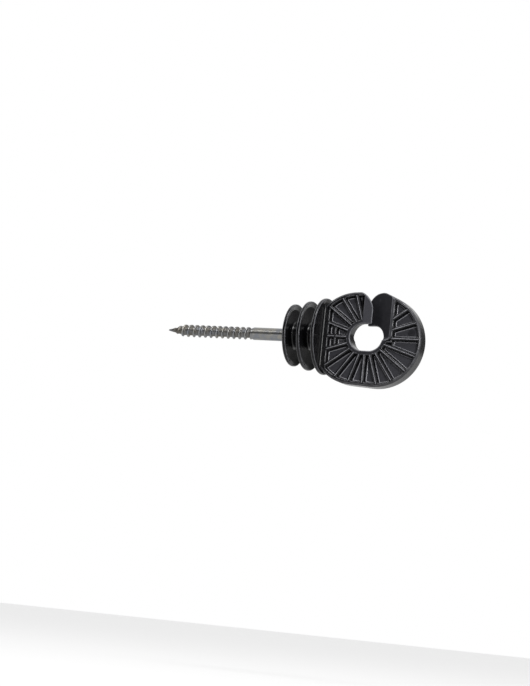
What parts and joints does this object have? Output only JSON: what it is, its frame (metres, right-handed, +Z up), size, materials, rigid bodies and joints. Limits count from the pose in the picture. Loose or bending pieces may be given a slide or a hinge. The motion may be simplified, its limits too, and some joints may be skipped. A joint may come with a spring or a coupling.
{
  "type": "screw-in ring insulator",
  "caption": "Screw-in ring insulator for fence rope: finned black moulding with a ribbed, slotted eye on a steel support with a wood thread.",
  "frame": {"origin": "on the support's axis where the wood thread ends and the post's face stands", "axes": "+X along the support towards the eye, +Y along the eye's axis, +Z up through the rope slot"},
  "size_m": [0.1297, 0.036, 0.045],
  "materials": {
    "black_polymer": "satin injection moulding, finely eroded pocket floors",
    "zinc_plated_steel": "bright zinc plate on cold-drawn steel"
  },
  "bodies": {
    "root": {"insulator_body": "black_polymer", "screw_support": "zinc_plated_steel"}
  },
  "joints": []
}
